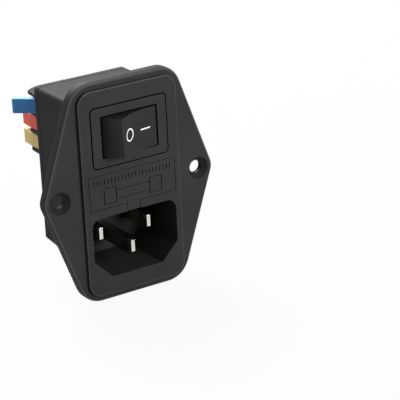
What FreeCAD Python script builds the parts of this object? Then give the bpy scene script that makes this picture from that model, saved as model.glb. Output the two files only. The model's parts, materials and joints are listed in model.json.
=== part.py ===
"""Power entry module: mains inlet, fuse drawer and rocker switch in one flanged housing.

Millimetres. X is to the right seen from the front, Y runs back into the equipment and Z
is up. The origin is midway between the two mounting screws, in the rear face of the
flange, which is the face that rests on the equipment panel.
"""
import math
import os

import FreeCAD
import Part

V = FreeCAD.Vector

# Flange
SCREW_SPACING = 40.0
SCREW_HOLE_D = 3.4
COUNTERSINK_D = 6.0
FLANGE_OVERHANG = 5.325
FLANGE_LEDGE = 0.45
FLANGE_T = 2.6
FLANGE_CORNER_R = 6.5
FLANGE_EDGE_R = 0.8
EAR_R = 4.3

# Raised face of the flange, and the coring behind it
FACE_OVERHANG = 0.75
FACE_INSET = 1.85
FACE_RAISE = 1.05
FACE_CORNER_R = 3.6
FACE_EDGE_R = 0.35
CORING_DEPTH = 0.9
POCKET_DEPTH = 2.2
POCKET_BORDER = 0.9
POCKET_RIB = 1.6

# Housing and rear cover
HOUSING_CORNER_R = 1.2
LEAST_CORNER_R = 0.2
HOUSING_CHAMFER_X = 5.4
HOUSING_CHAMFER_Z = 6.0
WALL = 1.0
FLOOR_T = 1.8
REAR_ROOM = 2.25
COVER_T = 1.85
COVER_LIP = 0.9
SEAM_GROOVE = 0.25
FIT = 0.1
OVERCUT = 1.0

# Inlet cavity and its three pins
SOCKET_HEIGHT = 16.3
SOCKET_TOP_R = 2.6
SOCKET_CHAMFER = 4.9
PIN_WIDTH = 2.0
PIN_HEIGHT = 4.0
PIN_TAPER = 0.5
LINE_PIN_SPACING = 14.0
LINE_PIN_DROP = 6.4
EARTH_PIN_OFFSET = 4.0
LINE_PIN_RECESS = 5.2
EARTH_PIN_RECESS = 1.7

# Fuse drawer, fuses and clips
SOCKET_WEB = 2.1
DRAWER_LIP = 1.225
DRAWER_HEIGHT = 8.85
DRAWER_FRONT_T = 1.9
DRAWER_WALL = 1.1
DRAWER_GAP = 0.12
DRAWER_RUN = 0.3
TONGUE_WIDTH = 3.7
FUSE_LENGTH = 20.0
FUSE_CAP_D = 5.2
FUSE_CAP_LENGTH = 5.0
FUSE_CAP_T = 0.3
FUSE_GLASS_D = 4.6
FUSE_GLASS_T = 0.5
FUSE_WIRE_D = 0.3
FUSE_PLAY = 0.1
SPARE_ROOM = 0.75
SADDLE_ROOM = 1.1
SADDLE_WIDTH = 6.8
CLIP_T = 0.4
CLIP_WIDTH = 4.6
CLIP_GAP = 0.12
CLIP_ROOM = 1.03
CLIP_GRIP = 1.8
CLIP_FLARE = 0.35

# Rocker switch
SWITCH_WEB = 1.85
BEZEL_WIDTH = 21.5
BEZEL_HEIGHT = 15.45
BEZEL_T = 1.3
BEZEL_PROUD = 0.1
BEZEL_GAP = 0.25
BEZEL_CORNER_R = 1.1
BEZEL_EDGE_R = 0.2
SWITCH_BODY_WIDTH = 19.6
SWITCH_BODY_HEIGHT = 13.6
SWITCH_BACK_GAP = 1.2
SWITCH_BASE_T = 1.5
SWITCH_SIDE_WALL = 1.65
SWITCH_END_WALL = 1.325
SNAP_RIB = 0.5
SNAP_LENGTH = 4.0
ROCKER_SIDE_GAP = 0.3
ROCKER_END_GAP = 0.425
ROCKER_PIVOT_DEPTH = 2.15
ROCKER_CORNER_ANGLE = 37.5
ROCKER_SKIRT_ANGLE = 10.0
ROCKER_VALLEY = 3.63
ROCKER_WALL = 1.0
ROCKER_EDGE_R = 0.25
ROCKER_TILT = 18.8
ROCKER_PIN_D = 2.4
ROCKER_PIN_LENGTH = 1.3
RUNNING_FIT = 0.05
PLUNGER_D = 2.2
PLUNGER_STANDOFF = 0.8
PLUNGER_LENGTH = 5.6
PLUNGER_TUBE_D = 3.6
PLUNGER_TUBE_REACH = 6.0
SPRING_WIRE = 0.3
SPRING_TURNS = 5

# Rocking contacts
ARM_STAND = 4.25
ARM_LENGTH = 12.0
ARM_WIDTH = 3.0
ARM_T = 0.6
ARM_RISE_ANGLE = 15.0
ARM_TILT = 8.0
CONTACT_OFFSET = 5.2
CONTACT_D = 1.8
CONTACT_T = 0.5
CONTACT_GAP = 0.15

# Stamped strips that join pins, fuse, switch and terminals
STRIP_T = 0.6
STRIP_WIDTH = 2.4
STRIP_GAP = 0.55
STRIP_MARGIN = 0.6
POST_NOTCH_R = 0.2

# Lever terminals
TERMINAL_PITCH = 5.05
TERMINAL_DROP = 0.15
BLOCK_HEIGHT = 9.95
BLOCK_FLOOR = 1.05
BLOCK_INNER_X = 0.9
BLOCK_TOP_X = -7.0
BLOCK_SHOULDER_X = -9.4
BLOCK_SHOULDER_DROP = 0.9
BLOCK_OUTER_X = -11.1
BLOCK_OUTER_DROP = 2.2
BLOCK_FOOT_X = -11.6
BLOCK_EDGE = 0.3
DIVIDER_T = 0.8
SPIGOT_INSET = 1.0
ENTRY_WIDTH = 4.45
ENTRY_HEIGHT = 4.4
ENTRY_R = 0.65
ENTRY_INSET = 1.2
ENTRY_SLOT_WIDTH = 1.4
ENTRY_SLOT_HEIGHT = 2.9
BAR_RECESS = 1.2
CLAMP_T = 0.3
CLAMP_TAIL_WIDTH = 3.5
CLAMP_TAIL = 3.8
CLAMP_REACH = 4.2
LEVER_WIDTH = 3.85
LEVER_PIVOT_X = -8.3
LEVER_PIVOT_HEIGHT = 4.15
LEVER_HUB_R = 2.5
LEVER_FLAT = 0.4
LEVER_OFFSET = 2.85
LEVER_KNEE = 3.4
LEVER_LENGTH = 8.0
LEVER_LEAN = 0.3
LEVER_T = 1.65
LEVER_OPEN_ANGLE = 52.0
LEVER_PIN_D = 1.5
LEVER_PIN_LENGTH = 0.5
LEVER_TIP_R = 0.4
LEVER_EDGE = 0.15

# Details of the rear cover
VENT_WIDTH = 2.2
VENT_HEIGHT = 5.0
VENT_X = 3.4
PAD_WIDTH = 7.5
PAD_HEIGHT = 4.4
PAD_T = 0.7
RIM_T = 0.8
RIM_HEIGHT = 1.0
DIMPLE_D = 2.6
DIMPLE_DEPTH = 0.6
DIMPLE_TOP_INSET = 1.4
DIMPLE_LOW_X = 9.0
DIMPLE_LOW_INSET = 4.9

# Widths, worked out from the fuse and the switch body; the inlet cavity is as wide as the inside
x_clip = (FUSE_LENGTH - FUSE_CAP_LENGTH) / 2
x_neutral_strip = x_clip + STRIP_WIDTH + STRIP_GAP
drawer_width = FUSE_LENGTH + 2 * (FUSE_PLAY + DRAWER_WALL + DRAWER_LIP)
inner_width = 2 * (x_neutral_strip + STRIP_WIDTH / 2 + STRIP_MARGIN)
housing_width = inner_width + 2 * WALL
face_width = housing_width + 2 * FACE_OVERHANG
flange_end_width = face_width + 2 * FLANGE_LEDGE
well_width = SWITCH_BODY_WIDTH - 2 * SWITCH_SIDE_WALL
well_height = SWITCH_BODY_HEIGHT - 2 * SWITCH_END_WALL
rocker_r = well_width / 2 - ROCKER_SIDE_GAP
rocker_width = well_height - 2 * ROCKER_END_GAP

# Heights, stacked from the foot of the housing
housing_height = 2 * WALL + SOCKET_HEIGHT + SOCKET_WEB + DRAWER_HEIGHT + SWITCH_WEB + BEZEL_HEIGHT
flange_height = housing_height + 2 * FLANGE_OVERHANG
face_height = flange_height - 2 * FACE_INSET
z_foot = -housing_height / 2
z_socket_low = z_foot + WALL
z_socket_top = z_socket_low + SOCKET_HEIGHT
z_drawer = z_socket_top + SOCKET_WEB + DRAWER_HEIGHT / 2
z_switch = housing_height / 2 - WALL - BEZEL_HEIGHT / 2
z_line_pins = z_socket_top - LINE_PIN_DROP
z_earth_pin = z_line_pins - EARTH_PIN_OFFSET

# Depths, stacked from the flange through the drawer and its fuses to the rear cover
y_flange = -FLANGE_T
y_face = y_flange - FACE_RAISE
y_drawer_plate = y_face + DRAWER_FRONT_T
y_spare_fuse = y_drawer_plate + SPARE_ROOM + FUSE_PLAY + FUSE_CAP_D / 2
y_box = y_spare_fuse + FUSE_CAP_D / 2 + FUSE_PLAY
y_box_wall = y_box + DRAWER_WALL
y_working_fuse = y_box_wall + SADDLE_ROOM + FUSE_CAP_D / 2
y_floor = y_working_fuse + FUSE_CAP_D / 2 + CLIP_GAP + CLIP_T + CLIP_ROOM
y_floor_back = y_floor + FLOOR_T
y_cover = y_floor_back + STRIP_T + REAR_ROOM
y_back = y_cover + COVER_T
y_bezel = y_face - BEZEL_PROUD
y_switch_back = y_floor_back - SWITCH_BACK_GAP
y_rocker_pivot = y_bezel + ROCKER_PIVOT_DEPTH
y_arm_pivot = y_switch_back - SWITCH_BASE_T - ARM_STAND
y_plunger_nose = y_arm_pivot - PLUNGER_STANDOFF
y_block = y_back + BLOCK_HEIGHT
y_block_floor = y_back + BLOCK_FLOOR
y_lever_pivot = y_back + LEVER_PIVOT_HEIGHT

# Terminals: earth below, then live and neutral in line with the two switch poles
z_live = z_switch - TERMINAL_DROP - TERMINAL_PITCH / 2
z_neutral = z_live + TERMINAL_PITCH
z_earth = z_live - TERMINAL_PITCH
TERMINALS = {"earth": z_earth, "live": z_live, "neutral": z_neutral}
bay_width = TERMINAL_PITCH - DIVIDER_T
z_block_low = z_earth - bay_width / 2 - DIVIDER_T
z_block_top = z_neutral + bay_width / 2 + DIVIDER_T
x_entry = BLOCK_INNER_X - ENTRY_INSET - ENTRY_WIDTH / 2
x_bar = -CONTACT_OFFSET


def rounded_wire(corners, place):
    """Closed wire through (u, w, radius) corners; place(u, w) gives each point in space."""
    runs = []
    for k, (u, w, radius) in enumerate(corners):
        here = V(u, w, 0)
        to_last = V(*corners[k - 1][:2], 0).sub(here).normalize()
        to_next = V(*corners[(k + 1) % len(corners)][:2], 0).sub(here).normalize()
        half = to_last.getAngle(to_next) / 2
        inward = to_last.add(to_next)
        if radius <= 0 or inward.Length < 1e-9:
            runs.append((here, None, here))
            continue
        setback = radius / math.tan(half)
        crown = here.add(inward.normalize().multiply(radius / math.sin(half) - radius))
        runs.append((here.add(to_last.multiply(setback)), crown, here.add(to_next.multiply(setback))))
    edges = []
    for k, (start, crown, end) in enumerate(runs):
        last_end = runs[k - 1][2]
        if last_end.distanceToPoint(start) > 1e-6:
            edges.append(Part.makeLine(place(last_end.x, last_end.y), place(start.x, start.y)))
        if crown is not None:
            arc = Part.Arc(place(start.x, start.y), place(crown.x, crown.y), place(end.x, end.y))
            edges.append(arc.toShape())
    return Part.Wire(edges)


def front_prism(corners, y0, y1):
    """Outline in X and Z, run from depth y0 to depth y1."""
    face = Part.Face(rounded_wire(corners, lambda x, z: V(x, y0, z)))
    return face.extrude(V(0, y1 - y0, 0))


def side_prism(corners, z0, z1):
    """Outline in X and Y, run from height z0 to height z1."""
    face = Part.Face(rounded_wire(corners, lambda x, y: V(x, y, z0)))
    return face.extrude(V(0, 0, z1 - z0))


def end_prism(corners, x0, x1):
    """Outline in Y and Z, run from x0 to x1."""
    face = Part.Face(rounded_wire(corners, lambda y, z: V(x0, y, z)))
    return face.extrude(V(x1 - x0, 0, 0))


def rectangle(u0, u1, w0, w1, radius=0.0):
    """Corners of a rectangle with one radius."""
    return [(u0, w0, radius), (u1, w0, radius), (u1, w1, radius), (u0, w1, radius)]


def block(x0, x1, y0, y1, z0, z1):
    """Rectangular block between two corners."""
    return Part.makeBox(x1 - x0, y1 - y0, z1 - z0, V(x0, y0, z0))


def rod(diameter, start, end):
    """Round bar between two points."""
    run = end.sub(start)
    return Part.makeCylinder(diameter / 2, run.Length, start, run)


def edges_at_depth(shape, y):
    """Edges that lie wholly in the plane at depth y."""
    return [e for e in shape.Edges
            if abs(e.BoundBox.YMin - y) < 1e-5 and abs(e.BoundBox.YMax - y) < 1e-5]


def mirrored_x(shape):
    """The shape mirrored to the other side of the centre line."""
    return shape.mirror(V(0, 0, 0), V(1, 0, 0))


def flange_corners():
    """Six-sided flange: the long slants run tangent to a round of EAR_R at each screw."""
    half_end = flange_end_width / 2
    half_height = flange_height / 2
    run = SCREW_SPACING / 2 - half_end
    slope = math.atan2(half_height, run) - math.asin(EAR_R / math.hypot(run, half_height))
    x_tip = half_end + half_height / math.tan(slope)
    return [(-half_end, -half_height, FLANGE_CORNER_R), (half_end, -half_height, FLANGE_CORNER_R),
            (x_tip, 0, EAR_R), (half_end, half_height, FLANGE_CORNER_R),
            (-half_end, half_height, FLANGE_CORNER_R), (-x_tip, 0, EAR_R)]


def housing_corners(inset=0.0):
    """Housing outline: chamfered at the inlet end, nearly square at the switch end."""
    x = housing_width / 2 - inset
    z = housing_height / 2 - inset
    radius = max(HOUSING_CORNER_R - inset, LEAST_CORNER_R)
    slope_length = math.hypot(HOUSING_CHAMFER_X, HOUSING_CHAMFER_Z)
    step_x = inset * (slope_length - HOUSING_CHAMFER_X) / HOUSING_CHAMFER_Z
    step_z = inset * (slope_length - HOUSING_CHAMFER_Z) / HOUSING_CHAMFER_X
    x_low = x - HOUSING_CHAMFER_X + inset - step_x
    z_low = -z + HOUSING_CHAMFER_Z - inset + step_z
    return [(-x_low, -z, 0), (x_low, -z, 0), (x, z_low, 0), (x, z, radius),
            (-x, z, radius), (-x, z_low, 0)]


def socket_corners(inset=0.0):
    """Inlet cavity: rounded top corners and two chamfered lower corners."""
    x = inner_width / 2 - inset
    z0 = z_socket_low + inset
    z1 = z_socket_top - inset
    cut = SOCKET_CHAMFER
    return [(-x + cut, z0, 0), (x - cut, z0, 0), (x, z0 + cut, 0), (x, z1, SOCKET_TOP_R),
            (-x, z1, SOCKET_TOP_R), (-x, z0 + cut, 0)]


def bay_half_height():
    """Half height of the bay that the drawer's body slides in."""
    return FUSE_CAP_D / 2 + FUSE_PLAY + DRAWER_WALL + DRAWER_RUN


def bay_half_width():
    """Half width of that bay."""
    return FUSE_LENGTH / 2 + FUSE_PLAY + DRAWER_WALL + DRAWER_RUN


def flange_plate():
    """Flange with its raised face, countersunk screw holes and the coring behind."""
    flange = front_prism(flange_corners(), y_flange, 0)
    flange = flange.makeFillet(FLANGE_EDGE_R, edges_at_depth(flange, y_flange))
    half_width = face_width / 2
    half_height = face_height / 2
    face = front_prism(rectangle(-half_width, half_width, -half_height, half_height, FACE_CORNER_R),
                       y_face, y_flange / 2)
    face = face.makeFillet(FACE_EDGE_R, edges_at_depth(face, y_face))
    plate = flange.fuse(face)
    for side in (-1, 1):
        x = side * SCREW_SPACING / 2
        plate = plate.cut(rod(SCREW_HOLE_D, V(x, y_face, 0), V(x, OVERCUT, 0)))
        sink = (COUNTERSINK_D - SCREW_HOLE_D) / 2
        cone = Part.makeCone(COUNTERSINK_D / 2, SCREW_HOLE_D / 2, sink, V(x, y_flange, 0), V(0, 1, 0))
        plate = plate.cut(cone)
    coring = front_prism(rectangle(-half_width, half_width, -half_height, half_height, FACE_CORNER_R),
                         -CORING_DEPTH, OVERCUT)
    x_pocket = half_width - POCKET_BORDER
    z_pocket = half_height - POCKET_BORDER
    pocket = front_prism(rectangle(-x_pocket, x_pocket, -z_pocket, z_pocket,
                                   FACE_CORNER_R - POCKET_BORDER), -POCKET_DEPTH, 0)
    rib = block(-POCKET_RIB / 2, POCKET_RIB / 2, -POCKET_DEPTH, 0, -z_pocket, z_foot)
    return plate.cut(coring).cut(pocket.cut(rib))


def front_shell():
    """Flange, inlet shroud, drawer bay and switch bay in one moulding."""
    shell = flange_plate().fuse(front_prism(housing_corners(), y_flange, y_cover))
    inner = front_prism(housing_corners(WALL), y_floor_back, y_cover + OVERCUT)
    shell = shell.cut(inner)
    shell = shell.cut(front_prism(socket_corners(), y_face - OVERCUT, y_floor))
    shell = shell.cut(switch_bay()).cut(drawer_bay())
    for x, z in pin_places().values():
        shell = shell.cut(block(x - PIN_WIDTH / 2, x + PIN_WIDTH / 2,
                                y_floor - OVERCUT, y_floor_back + OVERCUT,
                                z - PIN_HEIGHT / 2, z + PIN_HEIGHT / 2))
    for x in (-x_clip, x_clip):
        shell = shell.cut(block(x - STRIP_WIDTH / 2 - FIT, x + STRIP_WIDTH / 2 + FIT,
                                y_floor - OVERCUT, y_floor_back + OVERCUT,
                                z_drawer - CLIP_T / 2 - FIT, z_drawer + CLIP_T / 2 + FIT))
    return shell.removeSplitter()


def switch_bay():
    """Recess for the bezel, opening for the switch body and the room behind it."""
    x = BEZEL_WIDTH / 2 + BEZEL_GAP
    z = BEZEL_HEIGHT / 2 + BEZEL_GAP
    recess = front_prism(rectangle(-x, x, z_switch - z, z_switch + z, BEZEL_CORNER_R + BEZEL_GAP),
                         y_face - OVERCUT, y_face + BEZEL_T - BEZEL_PROUD)
    x = SWITCH_BODY_WIDTH / 2 + FIT
    z = SWITCH_BODY_HEIGHT / 2 + FIT
    opening = block(-x, x, y_face, y_cover, z_switch - z, z_switch + z)
    x = inner_width / 2
    z_low = z_drawer + bay_half_height() + WALL
    room = block(-x, x, 0, y_cover, z_low, housing_height / 2 - WALL)
    return recess.fuse([opening, room])


def drawer_bay():
    """Recess for the drawer's front, notch for its tongue and the bay for its body."""
    x = drawer_width / 2 + DRAWER_GAP
    z = DRAWER_HEIGHT / 2 + DRAWER_GAP
    recess = block(-x, x, y_face - OVERCUT, y_drawer_plate + DRAWER_GAP, z_drawer - z, z_drawer + z)
    x = TONGUE_WIDTH / 2 + DRAWER_GAP
    notch = block(-x, x, y_face - OVERCUT, y_drawer_plate + DRAWER_GAP,
                  z_socket_top - OVERCUT, z_drawer)
    x = bay_half_width()
    z = bay_half_height()
    bay = block(-x, x, y_face, y_floor, z_drawer - z, z_drawer + z)
    return recess.fuse([notch, bay])


def rear_cover():
    """Plate that closes the back, plugged into the housing, with its moulded details."""
    plate = front_prism(housing_corners(), y_cover, y_back)
    rim = edges_at_depth(plate, y_back)
    plate = plate.makeChamfer(SEAM_GROOVE / 2, rim)
    collar = front_prism(housing_corners(), y_cover - OVERCUT, y_cover + SEAM_GROOVE)
    plate = plate.cut(collar.cut(front_prism(housing_corners(SEAM_GROOVE), y_cover - OVERCUT, y_back)))
    lip = front_prism(housing_corners(WALL + FIT), y_cover - COVER_LIP, y_cover)
    lip = lip.cut(front_prism(housing_corners(2 * WALL + FIT), y_cover - 2 * COVER_LIP, y_cover))
    cover = plate.fuse(lip)
    pads = []
    for z in (z_live, z_neutral + TERMINAL_PITCH / 2):
        pads.append(block(BLOCK_INNER_X, BLOCK_INNER_X + PAD_WIDTH, y_back, y_back + PAD_T,
                          z - PAD_HEIGHT / 2, z + PAD_HEIGHT / 2))
    x = BLOCK_FOOT_X - FIT
    z = z_block_low - FIT
    pads.append(block(x - RIM_T, 0, y_back, y_back + RIM_HEIGHT, z - RIM_T, z))
    pads.append(block(x - RIM_T, x, y_back, y_back + RIM_HEIGHT, z - RIM_T, z_block_top))
    cover = cover.fuse(pads)
    for x in (-VENT_X, VENT_X):
        cover = cover.cut(block(x - VENT_WIDTH / 2, x + VENT_WIDTH / 2, y_cover - OVERCUT, y_back + OVERCUT,
                                -VENT_HEIGHT / 2, VENT_HEIGHT / 2))
    x_top = housing_width / 2 - DIMPLE_TOP_INSET
    z_top = housing_height / 2 - DIMPLE_TOP_INSET
    z_low = z_foot + DIMPLE_LOW_INSET
    for x, z in ((-x_top, z_top), (x_top, z_top), (-DIMPLE_LOW_X, z_low), (DIMPLE_LOW_X, z_low)):
        cover = cover.cut(rod(DIMPLE_D, V(x, y_back - DIMPLE_DEPTH, z), V(x, y_back + OVERCUT, z)))
    return cover.cut(spigot(FIT)).removeSplitter()


def spigot(grow=0.0):
    """Foot of the terminal block that plugs into the cover's window."""
    x0 = x_bar - STRIP_T - WALL - grow
    x1 = BLOCK_INNER_X - SPIGOT_INSET + grow
    return block(x0, x1, y_cover - grow, y_back, z_block_low + SPIGOT_INSET - grow,
                 z_block_top - SPIGOT_INSET + grow)


def terminal_block():
    """Block of three wire entries with a lever bay beside each."""
    profile = [(BLOCK_INNER_X, y_back, 0), (BLOCK_INNER_X, y_block, BLOCK_EDGE),
               (BLOCK_TOP_X, y_block, BLOCK_EDGE),
               (BLOCK_SHOULDER_X, y_block - BLOCK_SHOULDER_DROP, 0),
               (BLOCK_OUTER_X, y_block - BLOCK_OUTER_DROP, BLOCK_EDGE),
               (BLOCK_FOOT_X, y_back, 0)]
    body = side_prism(profile, z_block_low, z_block_top).fuse(spigot())
    for z in TERMINALS.values():
        half_bay = bay_width / 2
        bay = block(BLOCK_FOOT_X - OVERCUT, BLOCK_TOP_X, y_block_floor, y_block + OVERCUT,
                    z - half_bay, z + half_bay)
        hub_room = rod(2 * LEVER_HUB_R + 2 * DRAWER_RUN, V(LEVER_PIVOT_X, y_lever_pivot, z - half_bay),
                       V(LEVER_PIVOT_X, y_lever_pivot, z + half_bay))
        half_width = ENTRY_WIDTH / 2
        half_height = ENTRY_HEIGHT / 2
        entry = front_prism(rectangle(x_entry - half_width, x_entry + half_width,
                                      z - half_height, z + half_height, ENTRY_R),
                            y_block_floor, y_block + OVERCUT)
        slot = block(x_entry - half_width - ENTRY_SLOT_WIDTH, x_entry, y_block_floor, y_block + OVERCUT,
                     z - ENTRY_SLOT_HEIGHT / 2, z + ENTRY_SLOT_HEIGHT / 2)
        bar_slot = bar_window(z, y_cover - OVERCUT, y_block)
        tail_room = block(LEVER_PIVOT_X, x_entry, y_block_floor, y_block_floor + LEVER_HUB_R / 2,
                          z - CLAMP_TAIL_WIDTH / 2 - FIT, z + CLAMP_TAIL_WIDTH / 2 + FIT)
        body = body.cut(bay.fuse([hub_room, entry, slot, bar_slot, tail_room]))
    bore = rod(LEVER_PIN_D + 2 * RUNNING_FIT, V(LEVER_PIVOT_X, y_lever_pivot, z_block_low - OVERCUT),
               V(LEVER_PIVOT_X, y_lever_pivot, z_block_top + OVERCUT))
    return body.cut(bore).removeSplitter()


def lever(z, opening):
    """Lever with a cam hub, a kneed arm and stub pins, swung out by an angle."""
    half = LEVER_WIDTH / 2
    x_out = LEVER_PIVOT_X - LEVER_OFFSET
    x_in = x_out + LEVER_T
    y_knee = y_lever_pivot + LEVER_KNEE
    y_tip = y_lever_pivot + LEVER_LENGTH
    profile = [(x_out, y_lever_pivot - LEVER_HUB_R / 2, LEVER_T / 2), (x_out, y_knee, LEVER_KNEE / 2),
               (x_out + LEVER_LEAN, y_tip, LEVER_TIP_R), (x_in + LEVER_LEAN, y_tip, LEVER_TIP_R),
               (x_in, y_knee, LEVER_KNEE / 2), (LEVER_PIVOT_X, y_lever_pivot + LEVER_HUB_R / 2, 0),
               (LEVER_PIVOT_X, y_lever_pivot - LEVER_HUB_R / 2, 0)]
    arm = side_prism(profile, z - half, z + half)
    arm = arm.makeChamfer(LEVER_EDGE, [e for e in arm.Edges if e.BoundBox.ZLength < 1e-6])
    centre = V(LEVER_PIVOT_X, y_lever_pivot, 0)
    hub = rod(2 * LEVER_HUB_R, centre + V(0, 0, z - half), centre + V(0, 0, z + half))
    flat = block(LEVER_PIVOT_X - LEVER_HUB_R, LEVER_PIVOT_X + LEVER_HUB_R,
                 y_lever_pivot - LEVER_HUB_R - OVERCUT, y_lever_pivot - LEVER_HUB_R + LEVER_FLAT,
                 z - half, z + half)
    reach = half + LEVER_PIN_LENGTH
    pins = rod(LEVER_PIN_D, centre + V(0, 0, z - reach), centre + V(0, 0, z + reach))
    piece = arm.fuse([hub.cut(flat), pins]).removeSplitter()
    piece.rotate(centre, V(0, 0, 1), opening)
    return piece


def clamp_spring(z):
    """Bent leaf that presses the wire on the bar; its tail lies under the lever's cam."""
    x_far = x_entry + ENTRY_WIDTH / 2 - FIT
    y0 = y_block_floor
    y1 = y0 + CLAMP_T
    x_tail = x_bar + STRIP_T / 2 + FIT
    x_tip = x_tail + CLAMP_T
    profile = [(x_far, y0, 0), (x_far, y1, 0), (x_tip + 2 * CLAMP_T, y1, CLAMP_T),
               (x_tip, y0 + CLAMP_REACH, 0), (x_tip - CLAMP_T, y0 + CLAMP_REACH, 0),
               (x_tail + CLAMP_T, y0, CLAMP_T)]
    half_leaf = ENTRY_SLOT_HEIGHT / 2 - FIT
    leaf = side_prism(profile, z - half_leaf, z + half_leaf)
    half_tail = CLAMP_TAIL_WIDTH / 2
    tail = block(x_tail - CLAMP_TAIL, x_tail + CLAMP_T, y0, y1, z - half_tail, z + half_tail)
    window = bar_window(z, y0 - OVERCUT, y1 + OVERCUT)
    return leaf.fuse(tail.cut(window)).removeSplitter()


def bar_window(z, y_start, y_end):
    """Room round a terminal's bar, for what the bar passes through."""
    half_t = STRIP_T / 2 + FIT
    half_w = STRIP_WIDTH / 2 + FIT
    return block(x_bar - half_t, x_bar + half_t, y_start, y_end, z - half_w, z + half_w)


def pin_places():
    """Where the three inlet pins stand."""
    half = LINE_PIN_SPACING / 2
    return {"live": (-half, z_line_pins), "neutral": (half, z_line_pins), "earth": (0, z_earth_pin)}


def inlet_pin(x, z, recess):
    """Flat pin with a tapered tip, from its tip to the strip behind the floor."""
    y_tip = y_face + recess
    half_w = PIN_WIDTH / 2
    half_h = PIN_HEIGHT / 2
    small_w = half_w - PIN_TAPER
    small_h = half_h - PIN_TAPER
    blank = block(x - half_w, x + half_w, y_tip, y_floor_back, z - half_h, z + half_h)
    taper = 2 * PIN_TAPER
    base = rounded_wire(rectangle(x - half_w, x + half_w, z - half_h, z + half_h),
                        lambda u, w: V(u, y_tip + taper, w))
    nose = rounded_wire(rectangle(x - small_w, x + small_w, z - small_h, z + small_h),
                        lambda u, w: V(u, y_tip, w))
    tip = Part.makeLoft([nose, base], True)
    return blank.cut(block(x - half_w, x + half_w, y_tip, y_tip + taper,
                           z - half_h, z + half_h)).fuse(tip).removeSplitter()


def strip_path(points):
    """Flat strip behind the floor along a right-angled route of (x, z) points."""
    half = STRIP_WIDTH / 2
    runs = []
    for (x0, z0), (x1, z1) in zip(points, points[1:]):
        runs.append(block(min(x0, x1) - half, max(x0, x1) + half, y_floor_back, y_floor_back + STRIP_T,
                          min(z0, z1) - half, max(z0, z1) + half))
    strip = runs[0]
    for run in runs[1:]:
        strip = strip.fuse(run)
    return strip


def pivot_post(z):
    """Post that the rocking contact tips on, standing on a strip behind the base."""
    half = STRIP_WIDTH / 2
    y_top = y_arm_pivot + ARM_T / 2 + RUNNING_FIT
    return side_prism([(-STRIP_T, y_floor_back, 0), (-STRIP_T, y_top + STRIP_T, 0), (0, y_top, POST_NOTCH_R),
                       (STRIP_T, y_top + STRIP_T, 0), (STRIP_T, y_floor_back, 0)], z - half, z + half)


def strip_live_in():
    """From the live pin to the first fuse clip."""
    x, z = pin_places()["live"]
    return strip_path([(x, z), (x, z_drawer), (-x_clip, z_drawer)]).removeSplitter()


def strip_fused_live():
    """From the second fuse clip to the live pole of the switch."""
    route = strip_path([(x_clip, z_drawer), (x_clip, z_live), (0, z_live)])
    return route.fuse(pivot_post(z_live)).removeSplitter()


def strip_neutral():
    """From the neutral pin round the drawer bay to the neutral pole of the switch."""
    x, z = pin_places()["neutral"]
    route = [(x, z), (x_neutral_strip, z), (x_neutral_strip, z_neutral), (0, z_neutral)]
    return strip_path(route).fuse(pivot_post(z_neutral)).removeSplitter()


def terminal_bar(z, y_start):
    """Upright bar that the wire is clamped against."""
    return block(x_bar - STRIP_T / 2, x_bar + STRIP_T / 2, y_start, y_block - BAR_RECESS,
                 z - STRIP_WIDTH / 2, z + STRIP_WIDTH / 2)


def strip_earth():
    """From the earth pin straight up to the earth terminal."""
    x, z = pin_places()["earth"]
    route = strip_path([(x, z), (x, z_earth), (x_bar + (STRIP_WIDTH - STRIP_T) / 2, z_earth)])
    return route.fuse(terminal_bar(z_earth, y_floor_back)).removeSplitter()


def fixed_contact_height():
    """Depth of the fixed contact's face, just behind the closed rocking contact."""
    rise = math.radians(ARM_RISE_ANGLE - ARM_TILT)
    y_under = y_arm_pivot + (ARM_T / 2) / math.cos(rise) - CONTACT_OFFSET * math.tan(rise)
    return y_under + CONTACT_T + CONTACT_GAP


def fixed_contact(z):
    """Fixed contact of one pole, running straight back to its terminal."""
    y_top = fixed_contact_height()
    foot = block(x_bar - STRIP_WIDTH / 2, x_bar + STRIP_T / 2, y_top + CONTACT_T,
                 y_top + CONTACT_T + STRIP_T, z - STRIP_WIDTH / 2, z + STRIP_WIDTH / 2)
    x_button = x_bar - CONTACT_D / 4
    button = rod(CONTACT_D, V(x_button, y_top, z), V(x_button, y_top + CONTACT_T, z))
    return terminal_bar(z, y_top + CONTACT_T).fuse([foot, button]).removeSplitter()


def contact_arm(z):
    """Rocking contact: a shallow V of strip with a button under its closing end."""
    rise = math.radians(ARM_RISE_ANGLE)
    half = ARM_LENGTH / 2
    lift = half * math.tan(rise)
    t = ARM_T / 2
    profile = [(-half, y_arm_pivot - lift - t, 0), (0, y_arm_pivot - t, 0),
               (half, y_arm_pivot - lift - t, 0), (half, y_arm_pivot - lift + t, 0),
               (0, y_arm_pivot + t, 0), (-half, y_arm_pivot - lift + t, 0)]
    arm = side_prism(profile, z - ARM_WIDTH / 2, z + ARM_WIDTH / 2)
    root = V(-CONTACT_OFFSET, y_arm_pivot - CONTACT_OFFSET * math.tan(rise), z)
    out = V(-math.sin(rise), math.cos(rise), 0)
    button = rod(CONTACT_D, root, root + out * (t + CONTACT_T))
    piece = arm.fuse(button).removeSplitter()
    piece.rotate(V(0, y_arm_pivot, z), V(0, 0, 1), -ARM_TILT)
    return piece


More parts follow.
